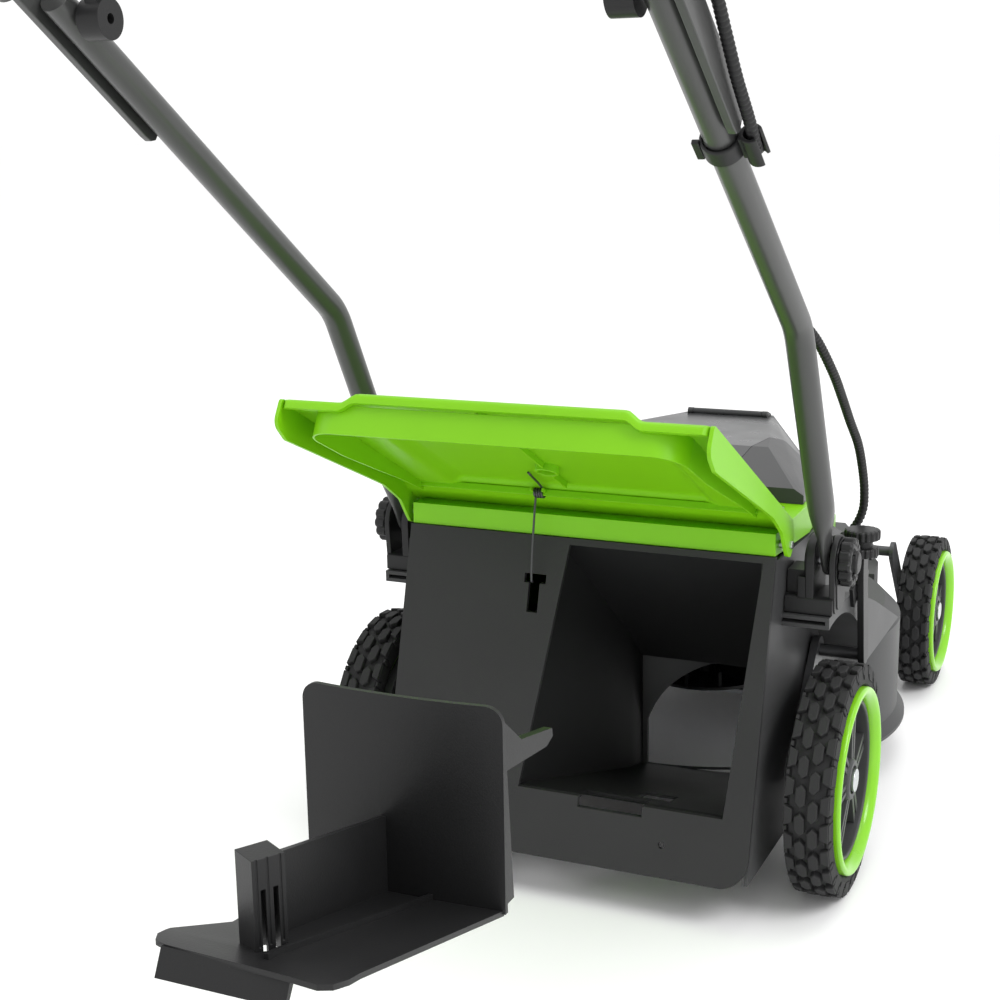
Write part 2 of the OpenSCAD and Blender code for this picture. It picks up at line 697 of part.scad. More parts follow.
module upper_handle() color([0.3, 0.3, 0.31]) at_axle() {
    corner = 70;
    handle_plane() difference() {
        union() {
            both_sides() rod([upper_x, 30], [upper_x, upper_len - corner], tube_r);
            elbow([upper_x, upper_len], 90, 180, tube_r, corner);
            elbow([-upper_x, upper_len], 180, 270, tube_r, corner);
            rod([-upper_x + corner, upper_len], [upper_x - corner, upper_len], tube_r);
            both_sides() {
                translate([tube_x + tube_r + 0.4, -110, -11]) cube([5, 170, 22]);
                translate([tube_x + tube_r + 0.4, 30, -8]) cube([upper_x - tube_x - tube_r, 30, 16]);
            }
        }
        translate([0, 0, 0]) rotate([0, 90, 0]) translate([0, 0, -220]) cylinder(r = 3 + run, h = 440);
    }
}

module grip_sleeve() color([0.07, 0.07, 0.07]) at_axle() handle_plane() difference() {
    rod([-124, upper_len], [66, upper_len], tube_r + 4);
    rod([-126, upper_len], [68, upper_len], tube_r);
}

// A bar along the grip between two x positions
module bar_across(x0, x1, r) rod([x0, upper_len], [x1, upper_len], r);

module switch_box() color([0.12, 0.12, 0.13]) at_axle() handle_plane() difference() {
    union() {
        translate([70, upper_len - 62, -8]) cube([58, 58, 42]);
        bar_across(70, 128, 15);
    }
    bar_across(60, 130, tube_r);
    translate([99, upper_len - 46, -20]) cylinder(r = 9, h = 26);
}

module start_button() color([0.5, 0.8, 0.1]) at_axle() handle_plane()
    translate([99, upper_len - 46, -13]) cylinder(r = 9 - run, h = 15);

// Bail hinge, in the plane of the upper handle, and the bail's reach from it
bail_y = upper_len - 100;
bail_z = -20;
bail_reach = [72, -50];

module bail_lever() color([0.1, 0.1, 0.11]) at_axle() handle_plane() {
    both_sides() difference() {
        side_view(upper_x - 26) linear_extrude(6)
            link_outline([bail_y, bail_z], [bail_y, bail_z] + bail_reach, 8);
        translate([0, bail_y, bail_z]) rotate([0, 90, 0]) cylinder(r = 3 + run, h = 260);
    }
    side_view(22 - upper_x) translate([bail_y + bail_reach[0], bail_z + bail_reach[1]])
        cylinder(r = 5, h = 2 * (upper_x - 22));
}

module bail_pins() color([0.12, 0.12, 0.13]) at_axle() handle_plane() both_sides() {
    translate([upper_x - 28, bail_y, bail_z]) rotate([0, 90, 0]) cylinder(r = 3, h = 16);
    translate([upper_x - 13, bail_y - 14, bail_z - 10]) cube([24, 28, 20]);
}

// ---- cable ----
cable_sides = 8;
cable_steps = 3;

// Smooth point on the route between points i and i + 1 (Catmull-Rom)
function route_at(p, i, t) =
    let (a = p[max(i - 1, 0)], b = p[i], c = p[i + 1], d = p[min(i + 2, len(p) - 1)])
    0.5 * (2 * b + (c - a) * t + (2 * a - 5 * b + 4 * c - d) * t * t + (3 * b - a - 3 * c + d) * t * t * t);

function smooth(p) = concat([for (i = [0:len(p) - 2], k = [0:cable_steps - 1])
    route_at(p, i, k / cable_steps)], [p[len(p) - 1]]);

// A tube swept along points p, with its rings square to the route
module sweep(p, r) {
    n = len(p);
    m = cable_sides;
    tangent = [for (i = [0:n - 1]) unit(p[min(i + 1, n - 1)] - p[max(i - 1, 0)])];
    ring = [for (i = [0:n - 1])
        let (u = unit(cross(tangent[i], [1, 0.2, 0])), v = cross(tangent[i], u))
        for (k = [0:m - 1]) p[i] + r * (cos(360 * k / m) * u + sin(360 * k / m) * v)];
    polyhedron(ring, concat([[for (k = [0:m - 1]) k]], [[for (k = [m - 1:-1:0]) (n - 1) * m + k]],
        [for (i = [0:n - 2], k = [0:m - 1])
            [i * m + k, (i + 1) * m + k, (i + 1) * m + (k + 1) % m, i * m + (k + 1) % m]]));
}

module cable() color([0.06, 0.06, 0.06]) at_axle() sweep(smooth(cable_route), cable_r);

module cable_clip() color([0.08, 0.08, 0.08]) at_axle() side_view(tube_x) {
    translate([clip_at[0], clip_at[1], 0]) rotate([0, 90, 180 - upper_deg]) translate([0, 0, -8])
    difference() {
        union() {
            cylinder(r = tube_r + 3, h = 16);
            translate([-26, -6, 3]) cube([16, 16, 10]);
        }
        translate([0, 0, -1]) cylinder(r = tube_r + run, h = 18);
        translate([-19, 2, -1]) cylinder(r = 5.6, h = 18);
    }
}

module cable_gland() color([0.08, 0.08, 0.08]) at_axle() difference() {
    bar_x([84, 256], 8, body_half + 0.1, 160);
    bar_x([84, 256], 2, body_half, 161);
}

module screws() color([0.7, 0.7, 0.72]) at_axle() {
    for (p = [[132, 30, 290.6], [48, 500, 175.5]])
        both_sides() translate(p) cylinder(r = 4, h = 2);
    for (a = [45:90:315]) translate([0, chamber_y, 0]) rotate([0, 0, a]) translate([52, 0, 0]) {
        translate([0, 0, deck_top - 4]) cylinder(r = 2.6, h = 9);
        translate([0, 0, deck_top + 5]) cylinder(r = 4.6, h = 3);
    }
}

deck_shell();
rear_housing();
rear_panel();
chute_tunnel();
top_cover();
motor_cover();
battery_lid();
battery_tray();
battery_pack();
safety_key();
controller_board();
motor_can();
motor_shaft();
cooling_fan();
blade();
blade_bolt();
rear_flap();
flap_hinge_rod();
flap_spring();
mulch_plug();
plug_latch();
rear_axle();
front_axle();
height_lever();
height_knob();
height_quadrant();
rear_wheel(1) tyre_body(rear_tyre_r, rear_rim, rear_tyre_w);  // tyre_rear_right
rear_wheel(1) rim_body(rear_rim, rear_tyre_w);  // rim_rear_right
rear_wheel(1) hub_body(rear_rim, rear_tyre_w);  // hub_rear_right
rear_wheel(-1) tyre_body(rear_tyre_r, rear_rim, rear_tyre_w);  // tyre_rear_left
rear_wheel(-1) rim_body(rear_rim, rear_tyre_w);  // rim_rear_left
rear_wheel(-1) hub_body(rear_rim, rear_tyre_w);  // hub_rear_left
front_wheel(1) front_tyre_body();  // tyre_front_right
front_wheel(1) rim_body(front_rim, front_tyre_w);  // rim_front_right
front_wheel(1) hub_body(front_rim, front_tyre_w);  // hub_front_right
front_wheel(-1) front_tyre_body();  // tyre_front_left
front_wheel(-1) rim_body(front_rim, front_tyre_w);  // rim_front_left
front_wheel(-1) hub_body(front_rim, front_tyre_w);  // hub_front_left
wheel_nuts(rear_tyre_x, rear_tyre_w, [0, rear_z]);  // wheel_nuts_rear
wheel_nuts(front_tyre_x, front_tyre_w, [wheelbase, front_z]);  // wheel_nuts_front
bracket_shape();  // bracket_right
mirror([1, 0, 0]) bracket_shape();  // bracket_left
pivot_bolts();
pivot_knob_shape();  // pivot_knob_right
mirror([1, 0, 0]) pivot_knob_shape();  // pivot_knob_left
lower_tube_side();  // lower_tube_right
mirror([1, 0, 0]) lower_tube_side();  // lower_tube_left
joint_bolts();
cam_lever_shape();  // cam_lever_right
mirror([1, 0, 0]) cam_lever_shape();  // cam_lever_left
upper_handle();
grip_sleeve();
switch_box();
start_button();
bail_lever();
bail_pins();
cable();
cable_clip();
cable_gland();
screws();
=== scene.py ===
import json
import math

import bmesh
import bpy
from mathutils import Matrix, Vector


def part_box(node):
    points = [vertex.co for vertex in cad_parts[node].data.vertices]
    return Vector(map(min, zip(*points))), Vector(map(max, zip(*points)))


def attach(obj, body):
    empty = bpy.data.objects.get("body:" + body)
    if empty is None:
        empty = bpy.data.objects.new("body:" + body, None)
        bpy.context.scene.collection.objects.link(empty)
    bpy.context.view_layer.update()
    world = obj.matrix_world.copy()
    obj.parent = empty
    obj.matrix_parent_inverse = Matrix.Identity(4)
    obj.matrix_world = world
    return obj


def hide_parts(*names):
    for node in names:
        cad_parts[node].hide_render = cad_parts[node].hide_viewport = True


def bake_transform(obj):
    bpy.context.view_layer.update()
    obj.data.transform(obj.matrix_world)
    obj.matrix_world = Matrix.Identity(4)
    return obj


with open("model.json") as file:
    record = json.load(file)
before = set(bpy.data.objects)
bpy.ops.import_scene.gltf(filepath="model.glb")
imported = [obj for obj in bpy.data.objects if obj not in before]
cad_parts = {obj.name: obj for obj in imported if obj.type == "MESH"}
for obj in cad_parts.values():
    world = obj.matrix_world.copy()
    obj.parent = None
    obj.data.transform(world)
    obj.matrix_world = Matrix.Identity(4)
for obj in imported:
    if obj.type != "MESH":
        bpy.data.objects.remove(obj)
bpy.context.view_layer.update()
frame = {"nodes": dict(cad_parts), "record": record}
NODES = frame["nodes"]
RECORD = frame["record"]
SLOT_OF = {s["node"]: s["material_slot"] for s in RECORD["subparts"]}
MM = 1000

tyre_low, tyre_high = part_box("tyre_rear_right")
AXLE_Y = (tyre_low.y + tyre_high.y) / 2


def at(x, y, z):
    """A point given in millimetres from the rear axle, in the frame's metres."""
    return Vector((x / MM, y / MM + AXLE_Y, z / MM))


def direction(degrees):
    """Unit vector in the Y-Z plane, backwards and up at that slope."""
    a = math.radians(degrees)
    return Vector((0, -math.cos(a), math.sin(a)))


# ---------------------------------------------------------------- materials

def material(name, colour, rough, metal=0.0, spread=0.08, grain=0.0, size=900.0, coat=0.0, wear=0.0):
    """A procedural finish: mottled colour and roughness, a moulded grain, and where asked, worn edges."""
    m = bpy.data.materials.new(name)
    m.use_nodes = True
    t = m.node_tree
    for n in list(t.nodes):
        t.nodes.remove(n)
    add, link = t.nodes.new, t.links.new
    out, bsdf = add("ShaderNodeOutputMaterial"), add("ShaderNodeBsdfPrincipled")
    link(bsdf.outputs[0], out.inputs[0])
    place = add("ShaderNodeTexCoord")
    broad = add("ShaderNodeTexNoise")
    broad.inputs["Scale"].default_value = 14
    broad.inputs["Detail"].default_value = 6
    link(place.outputs["Object"], broad.inputs["Vector"])
    ramp = add("ShaderNodeValToRGB")
    ramp.color_ramp.elements[0].position, ramp.color_ramp.elements[1].position = 0.3, 0.7
    ramp.color_ramp.elements[0].color = [c * (1 - spread) for c in colour] + [1]
    ramp.color_ramp.elements[1].color = [min(1, c * (1 + spread)) for c in colour] + [1]
    link(broad.outputs["Fac"], ramp.inputs[0])
    shade = ramp.outputs[0]
    if wear:
        edge, mix = add("ShaderNodeNewGeometry"), add("ShaderNodeMix")
        mix.data_type = "RGBA"
        scale = add("ShaderNodeMapRange")
        scale.inputs["From Min"].default_value, scale.inputs["From Max"].default_value = 0.51, 0.6
        scale.inputs["To Max"].default_value = wear
        link(edge.outputs["Pointiness"], scale.inputs["Value"])
        link(scale.outputs[0], mix.inputs[0])
        link(shade, mix.inputs[6])
        mix.inputs[7].default_value = [min(1, c * 1.8 + 0.04) for c in colour] + [1]
        shade = mix.outputs[2]
    link(shade, bsdf.inputs["Base Color"])
    fine = add("ShaderNodeTexNoise")
    fine.inputs["Scale"].default_value = size
    fine.inputs["Detail"].default_value = 3
    link(place.outputs["Object"], fine.inputs["Vector"])
    span = add("ShaderNodeMapRange")
    span.inputs["To Min"].default_value = max(0.03, rough - 0.07)
    span.inputs["To Max"].default_value = min(1, rough + 0.07)
    link(broad.outputs["Fac"], span.inputs["Value"])
    link(span.outputs[0], bsdf.inputs["Roughness"])
    bsdf.inputs["Metallic"].default_value = metal
    bsdf.inputs["Coat Weight"].default_value = coat
    bsdf.inputs["Coat Roughness"].default_value = 0.12
    bsdf.inputs["Specular IOR Level"].default_value = 0.5 if metal else 0.3
    if grain:
        bump = add("ShaderNodeBump")
        bump.inputs["Strength"].default_value = grain
        bump.inputs["Distance"].default_value = 0.0004
        link(fine.outputs["Fac"], bump.inputs["Height"])
        link(bump.outputs[0], bsdf.inputs["Normal"])
    return m


FINISH = {
    "deck": material("deck_grey", (0.046, 0.0465, 0.0475), 0.48, grain=0.25),
    "panel": material("panel_grey", (0.021, 0.0212, 0.0215), 0.5, grain=0.18),
    "chute": material("chute_black", (0.011, 0.0112, 0.0115), 0.5, grain=0.2),
    "green": material("lime_plastic", (0.185, 0.5, 0.004), 0.4, spread=0.03, grain=0.05),
    "hood": material("hood_grey", (0.04, 0.0405, 0.0415), 0.45, grain=0.2),
    "black": material("black_plastic", (0.011, 0.0111, 0.0115), 0.42, grain=0.2),
    "battery": material("battery_grey", (0.03, 0.031, 0.033), 0.5, grain=0.3),
    "tyre": material("tyre_rubber", (0.021, 0.021, 0.0215), 0.72, grain=0.5, size=1400),
    "rim": material("rim_lime", (0.21, 0.56, 0.008), 0.3, spread=0.03, grain=0.04, coat=0.4),
    "hub": material("hub_grey", (0.055, 0.056, 0.058), 0.45, grain=0.25),
    "tube": material("tube_coat", (0.05, 0.051, 0.05), 0.38, metal=0.3, grain=0.12, size=1800, coat=0.2),
    "steel": material("zinc_steel", (0.55, 0.56, 0.58), 0.3, metal=1.0, grain=0.1, size=2400),
    "blade": material("blade_steel", (0.38, 0.39, 0.41), 0.36, metal=1.0, grain=0.3, size=1600, wear=0.5),
    "crank": material("crank_steel", (0.07, 0.071, 0.074), 0.4, metal=0.6, grain=0.15),
    "foam": material("foam_grip", (0.015, 0.015, 0.0155), 0.9, grain=0.9, size=1100),
    "cable": material("cable_sleeve", (0.013, 0.013, 0.0135), 0.5, grain=0.25, size=1500),
    "board": material("board_green", (0.02, 0.11, 0.04), 0.3, spread=0.2, grain=0.4, size=300, coat=0.4),
    "motor": material("motor_metal", (0.42, 0.43, 0.45), 0.34, metal=1.0, grain=0.2, size=1500),
    "key": material("key_red", (0.55, 0.02, 0.015), 0.32, spread=0.05, grain=0.1),
}


def window_material():
    """Smoky clear plastic with faint moulding waves."""
    m = bpy.data.materials.new("smoky_clear")
    m.use_nodes = True
    t = m.node_tree
    bsdf = t.nodes["Principled BSDF"]
    bsdf.inputs["Base Color"].default_value = (0.05, 0.051, 0.053, 1)
    bsdf.inputs["Specular IOR Level"].default_value = 0.25
    bsdf.inputs["Transmission Weight"].default_value = 0.2
    bsdf.inputs["IOR"].default_value = 1.45
    place, wave, bump = (t.nodes.new(k) for k in
                         ("ShaderNodeTexCoord", "ShaderNodeTexNoise", "ShaderNodeBump"))
    wave.inputs["Scale"].default_value = 30
    bump.inputs["Strength"].default_value = 0.012
    t.links.new(place.outputs["Object"], wave.inputs["Vector"])
    t.links.new(wave.outputs["Fac"], bump.inputs["Height"])
    t.links.new(bump.outputs[0], bsdf.inputs["Normal"])
    span = t.nodes.new("ShaderNodeMapRange")
    span.inputs["To Min"].default_value, span.inputs["To Max"].default_value = 0.22, 0.36
    t.links.new(wave.outputs["Fac"], span.inputs["Value"])
    t.links.new(span.outputs[0], bsdf.inputs["Roughness"])
    return m


FINISH["window"] = window_material()


# ---------------------------------------------------------------- mesh helpers

SHARP = math.radians(28)


def dress(o, slot):
    """Gives an object its finish and smooth shading."""
    o.data.materials.clear()
    o.data.materials.append(FINISH[slot])
    for p in o.data.polygons:
        p.use_smooth = True


def round_edges(o, width):
    bevel = o.modifiers.new("bevel", "BEVEL")
    bevel.width, bevel.segments = width, 2
    bevel.limit_method, bevel.angle_limit = "ANGLE", SHARP
    return bevel


def soften(o, width):
    """Rounds the edges of a CAD part with modifiers only."""
    if "custom_normal" in o.data.attributes:
        o.data.attributes.remove(o.data.attributes["custom_normal"])
    weld = o.modifiers.new("weld", "WELD")
    weld.merge_threshold = 0.00002
    flat = o.modifiers.new("flat", "DECIMATE")
    flat.decimate_type, flat.angle_limit = "DISSOLVE", math.radians(1)
    bevel = round_edges(o, width)
    bevel.use_clamp_overlap, bevel.harden_normals = True, False
    bevel.miter_outer = "MITER_ARC"
    normals = o.modifiers.new("normals", "WEIGHTED_NORMAL")
    normals.keep_sharp, normals.weight = False, 60


def mesh_piece(name, verts, faces, slot, body, replaced=(), crease=None):
    """One piece. body is a body's name, or a tuple (body, body, start, end) for a piece that spans a joint;
    such a piece is only baked in place and attached to no body.
    """
    mesh = bpy.data.meshes.new(name)
    mesh.from_pydata([tuple(v) for v in verts], [], faces)
    mesh.validate()
    bm = bmesh.new()
    bm.from_mesh(mesh)
    bmesh.ops.recalc_face_normals(bm, faces=bm.faces)
    bm.to_mesh(mesh)
    bm.free()
    o = bpy.data.objects.new(name, mesh)
    bpy.context.scene.collection.objects.link(o)
    dress(o, slot)
    if crease:
        round_edges(o, crease)
        normals = o.modifiers.new("normals", "WEIGHTED_NORMAL")
        normals.keep_sharp = False
    if isinstance(body, tuple):
        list(body)
        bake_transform(o)
    else:
        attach(o, body)
    if replaced:
        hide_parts(*replaced)
    return o


class Shape:
    """Gathers vertices and faces of one piece."""

    def __init__(self):
        self.v, self.f = [], []

    def ring_stack(self, rings, closed_loop=False):
        """Skins rings of equal length, and either caps both ends or joins the last ring to the first."""
        base, n = len(self.v), len(rings[0])
        for r in rings:
            self.v += [Vector(p) for p in r]
        last = len(rings) if closed_loop else len(rings) - 1
        for i in range(last):
            a, b = base + i * n, base + ((i + 1) % len(rings)) * n
            for k in range(n):
                self.f.append((a + k, a + (k + 1) % n, b + (k + 1) % n, b + k))
        if not closed_loop:
            self.f.append(tuple(range(base + n - 1, base - 1, -1)))
            self.f.append(tuple(range(base + (len(rings) - 1) * n, base + len(rings) * n)))

    def lathe(self, profile, segments, place):
        """Turns a closed profile of (along, radius) pairs; place(along, radius, angle) gives the point."""
        rings = [[place(a, r, 2 * math.pi * k / segments) for k in range(segments)] for a, r in profile]
        self.ring_stack(rings, closed_loop=True)

    def box(self, lo, hi, place=lambda p: p):
        (x0, y0, z0), (x1, y1, z1) = lo, hi
        base = [place(Vector(p)) for p in ((x0, y0, z0), (x1, y0, z0), (x1, y1, z0), (x0, y1, z0))]
        top = [place(Vector(p)) for p in ((x0, y0, z1), (x1, y0, z1), (x1, y1, z1), (x0, y1, z1))]
        self.ring_stack([base, top])

    def sweep(self, points, size, sides=24):
        """An oval section carried along points without twist; size(i, n) gives its two half widths."""
        n = len(points)
        rings = []
        for i, p in enumerate(points):
            t = (points[min(i + 1, n - 1)] - points[max(i - 1, 0)]).normalized()
            side = Vector((1, 0, 0)) - t * t.x
            side = side.normalized() if side.length > 0.05 else t.orthogonal().normalized()
            if i and side.dot(last_side) < 0.3:
                side = (last_side - t * t.dot(last_side)).normalized()
            last_side = side
            up = t.cross(side)
            a, b = size(i, n)
            rings.append([p + side * (a * math.cos(2 * math.pi * k / sides))
                          + up * (b * math.sin(2 * math.pi * k / sides)) for k in range(sides)])
        self.ring_stack(rings)


def arc_between(a, b, share):
    """a turned that share of the way to b."""
    return Matrix.Rotation(a.angle(b) * share, 3, a.cross(b)) @ a


def rounded_path(corners, radius, steps=10):
    """Points along straight runs joined by arcs of that radius."""
    out = [corners[0]]
    for before, c, after in zip(corners, corners[1:], corners[2:]):
        u, v = (before - c).normalized(), (after - c).normalized()
        half = u.angle(v) / 2
        cut = radius / math.tan(half)
        centre = c + (u + v).normalized() * (radius / math.sin(half))
        a, b = c + u * cut - centre, c + v * cut - centre
        for k in range(steps + 1):
            out.append(centre + arc_between(a, b, k / steps))
    out.append(corners[-1])
    return out


def curve_through(points, per_span):
    """Catmull-Rom points through a route."""
    out = []
    for i in range(len(points) - 1):
        a, b = points[max(i - 1, 0)], points[i]
        c, d = points[i + 1], points[min(i + 2, len(points) - 1)]
        for k in range(per_span):
            t = k / per_span
            out.append(0.5 * (2 * b + (c - a) * t + (2 * a - 5 * b + 4 * c - d) * t * t
                              + (3 * b - a - 3 * c + d) * t ** 3))
    return out + [points[-1]]


# ---------------------------------------------------------------- wheels

def wheel_place(x, y, z, side):
    """Point of a wheel from its distance along the axle, radius and angle, in millimetres and radians."""
    def place(along, radius, angle):
        return at(side * (x + along), y + radius * math.sin(angle), z + radius * math.cos(angle))
    return place


def small_ring(place, along, off, turn, radius, sides=20):
    """A circle that lies off the axle by a distance, at that turn, at one place along it."""
    out = []
    for k in range(sides):
        b = 2 * math.pi * k / sides
        u, v = off + radius * math.cos(b), radius * math.sin(b)
        out.append(place(along, math.hypot(u, v), turn + math.atan2(v, u)))
    return out


def tyre(name, node, body, place, r, rim, w, pitches):
    """Carcass with two rows of staggered lugs, shoulder blocks and side lugs."""
    s = Shape()
    carcass = [(3, rim), (1.2, rim + 4), (0.8, r - 12), (2.4, r - 6.5), (5, r - 4.6), (w - 5, r - 4.6),
               (w - 2.4, r - 6.5), (w - 0.8, r - 12), (w - 1.2, rim + 4.2), (w - 3, rim + 2.6),
               (w - 5, rim)]
    s.lathe(carcass, 96, place)
    step = 2 * math.pi / pitches
    unit = step * r
    mid = w / 2

    def block(outline, top):
        """A tread block from (across, along) corners, drawn in a little towards its top."""
        cx = sum(p[0] for p in outline) / len(outline)
        cs = sum(p[1] for p in outline) / len(outline)

        def ring(radius, pull):
            out = []
            for x, t in outline:
                dx, dt = cx - x, cs - t
                d = math.hypot(dx, dt)
                out.append(place(x + dx * pull / d, radius, (t + dt * pull / d) / r))
            return out
        s.ring_stack([ring(r - 5, 0), ring(top - 0.6, 0.2), ring(top, 1)])

    lug = ((8.6, 0.1), (4.6, -0.08), (0.9, 0.04), (0.9, 0.56), (4.4, 0.74), (8.6, 0.6))
    for i in range(pitches):
        for sign, shift in ((-1, 0), (1, 0.5)):
            block([(mid + sign * x, (i + shift + t) * unit) for x, t in lug], r)
        for sign, shift in ((-1, 0.36), (1, 0.86)):
            t = (i + shift) * unit
            inner, outer = mid + sign * 10, mid + sign * (mid - 1.6)
            block([(inner, t), (outer, t - 0.12 * unit), (outer, t + 0.62 * unit), (inner, t + 0.5 * unit)],
                  r - 0.6)
            edge = mid + sign * (mid - 0.1)
            back = mid + sign * (mid - 3.4)
            for a0, a1, deep in ((-0.1, 0.58, 12), (0.64, 0.84, 8)):
                lo_a, hi_a = (t + a0 * unit) / r, (t + a1 * unit) / r
                outer_ring = [place(edge, r - deep, lo_a), place(edge, r - deep, hi_a),
                              place(mid + sign * (mid - 1.2), r - 2.2, hi_a - 0.006),
                              place(mid + sign * (mid - 1.2), r - 2.2, lo_a + 0.006)]
                inner_ring = [place(back, r - deep - 0.5, lo_a), place(back, r - deep - 0.5, hi_a),
                              place(back, r - 3, hi_a), place(back, r - 3, lo_a)]
                s.ring_stack([inner_ring, outer_ring])
    return mesh_piece(name, s.v, s.f, "tyre", body, [node], crease=0.00035)


def rim(name, node, body, place, r, w):
    """Lime ring that stands a little proud of the tyre."""
    s = Shape()
    ring = [(5, r - 0.3), (w - 5, r - 0.3), (w - 4.2, r + 2.2), (w + 0.8, r + 2.3), (w + 2.4, r + 1.6),
            (w + 3.2, r + 0.2), (w + 3, r - 1.8), (w + 1.6, r - 4), (w - 1, r - 6.2), (w - 3.4, r - 7.4),
            (w - 7.6, r - 7.6), (w - 7.6, r - 5), (5, r - 4)]
    s.lathe(ring, 120, place)
    return mesh_piece(name, s.v, s.f, "rim", body, [node], crease=0.0006)


SPINDLE_R = 6


def hub(name, node, body, place, r, w):
    """Outer band, boss and six split spokes, with a round lug between each two."""
    s = Shape()
    edge = r - 7.6
    s.lathe([(0, edge), (w - 5.5, edge), (w - 4.2, edge - 0.6), (w - 4, edge - 1.6), (w - 4.2, edge - 3.4),
             (w - 6, edge - 4), (0, edge - 4)], 96, place)
    s.lathe([(6, SPINDLE_R + 0.1), (6, edge - 1), (9, edge - 1), (9, 18), (w - 9, 17.5), (w - 4.5, 16),
             (w - 3.1, 14.5), (w - 3, 11), (w - 7, 10.5), (w - 7, SPINDLE_R + 0.1)], 64, place)
    for i in range(6):
        a = math.radians(20 + 60 * i)
        for side in (-1, 1):
            inner_r, outer_r = 14, edge - 1
            def corner(radius, wide, along):
                return place(along, math.hypot(radius, wide), a + math.atan2(wide, radius))
            w0, w1 = side * 1.6, side * 6.2
            near = [corner(inner_r, w0 * 0.8, 8), corner(inner_r, w1 * 0.75, 8),
                    corner(outer_r, w1 * 1.25, 8), corner(outer_r, w0 * 1.3, 8)]
            top = [corner(inner_r, w0 * 0.8, w - 5), corner(inner_r, w1 * 0.75, w - 5),
                   corner(outer_r, w1 * 1.25, w - 8.5), corner(outer_r, w0 * 1.3, w - 8.5)]
            s.ring_stack([near, top])
        mid = a + math.radians(30)
        rr = (edge + 17) / 2
        s.ring_stack([small_ring(place, along, rr, mid, q)
                      for along, q in ((8.5, 5), (13, 4.6), (13, 3), (10, 2.8))])
    return mesh_piece(name, s.v, s.f, "hub", body, [node], crease=0.0005)


for end, pitches in (("rear", 26), ("front", 24)):
    low, high = (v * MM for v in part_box("tyre_%s_right" % end))
    rim_low, rim_high = (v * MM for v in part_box("rim_%s_right" % end))
    x, w, r = low.x, high.x - low.x, (high.z - low.z) / 2
    y, z = (low.y + high.y) / 2 - AXLE_Y * MM, (low.z + high.z) / 2
    rim_r = (rim_high.z - rim_low.z) / 2 - 2.4
    for side_name, side in (("right", 1), ("left", -1)):
        tag = end + "_" + side_name
        place = wheel_place(x, y, z, side)
        tyre("tread_" + tag, "tyre_" + tag, "wheel_" + tag, place, r, rim_r, w, pitches)
        rim("lime_rim_" + tag, "rim_" + tag, "wheel_" + tag, place, rim_r, w)
        hub("spoked_hub_" + tag, "hub_" + tag, "wheel_" + tag, place, rim_r, w)


# ---------------------------------------------------------------- handle

LOWER_SLOPE, UPPER_SLOPE = 60.7, 35
LOWER_LEN, MIDDLE_LEN, UPPER_LEN = 214, 345, 450
PIVOT_Z = 262
PIVOT = at(0, 0, PIVOT_Z)
BEND = PIVOT + direction(LOWER_SLOPE) * LOWER_LEN / MM
KNUCKLE = BEND + direction(UPPER_SLOPE) * MIDDLE_LEN / MM
TUBE_X, TUBE_R = 0.178, 0.010
UPPER_X = 202


def lower_tube(side_name, side):
    """Bent tube, pressed flat where it meets its bracket."""
    x = Vector((side * TUBE_X, 0, 0))
    foot = PIVOT + x - direction(LOWER_SLOPE) * 0.011
    path = rounded_path([foot, BEND + x, KNUCKLE + x + direction(UPPER_SLOPE) * 0.02], 0.055, 14)
    shares = (0, 0.03, 0.07, 0.12, 0.16, 0.2, 0.24, 0.28, 0.32, 0.38)
    path = [path[0] + (path[1] - path[0]) * t for t in shares] + path[1:]
    steps = [(0.0043, 0.005), (0.0045, 0.0095), (0.0045, 0.0112), (0.0045, 0.0112), (0.0046, 0.0112),
             (0.0062, 0.011), (0.0082, 0.0106), (0.0095, 0.0102), (TUBE_R, TUBE_R)]

    def size(i, n):
        if i < len(steps):
            return steps[i]
        if i >= n - 1:
            return (TUBE_R - 0.0008, TUBE_R - 0.0008)
        return (TUBE_R, TUBE_R)
    s = Shape()
    s.sweep(path, size, 32)
    return mesh_piece("lower_handle_tube_" + side_name, s.v, s.f, "tube", "lower_handle",
                      ["lower_tube_" + side_name], crease=0.0006)


lower_tube("right", 1)
lower_tube("left", -1)

UP = direction(UPPER_SLOPE)
ACROSS = Vector((0, -math.sin(math.radians(UPPER_SLOPE)), -math.cos(math.radians(UPPER_SLOPE))))


def on_handle(x, y, z):
    """A point in the plane of the upper handle, in millimetres: across, up its slope, and out of its back."""
    return KNUCKLE + Vector((x / MM, 0, 0)) + UP * (y / MM) + ACROSS * (z / MM)


def upper_bow():
    """The bent tube, with a flat plate on each end that the middle joint clamps."""
    s = Shape()
    corners = [on_handle(-UPPER_X, 30, 0), on_handle(-UPPER_X, UPPER_LEN, 0),
               on_handle(UPPER_X, UPPER_LEN, 0), on_handle(UPPER_X, 30, 0)]
    s.sweep(rounded_path(corners, 0.07, 18), lambda i, n: (TUBE_R, TUBE_R), 32)
    outline = [(-110, -7), (-106, -10.4), (-100, -11), (56, -11), (60, -9), (60, 9), (56, 11), (-100, 11),
               (-106, 10.4), (-110, 7)]
    for side in (-1, 1):
        s.ring_stack([[on_handle(side * x, a, b) for a, b in outline] for x in (188.4, 193.4)])
        s.box((side * 188.4, 30, -8), (side * UPPER_X, 60, 8), lambda p: on_handle(*p))
    return mesh_piece("upper_handle_bow", s.v, s.f, "tube", "upper_handle_group", ["upper_handle"],
                      crease=0.0007)


upper_bow()


# ---------------------------------------------------------------- corrugated cable

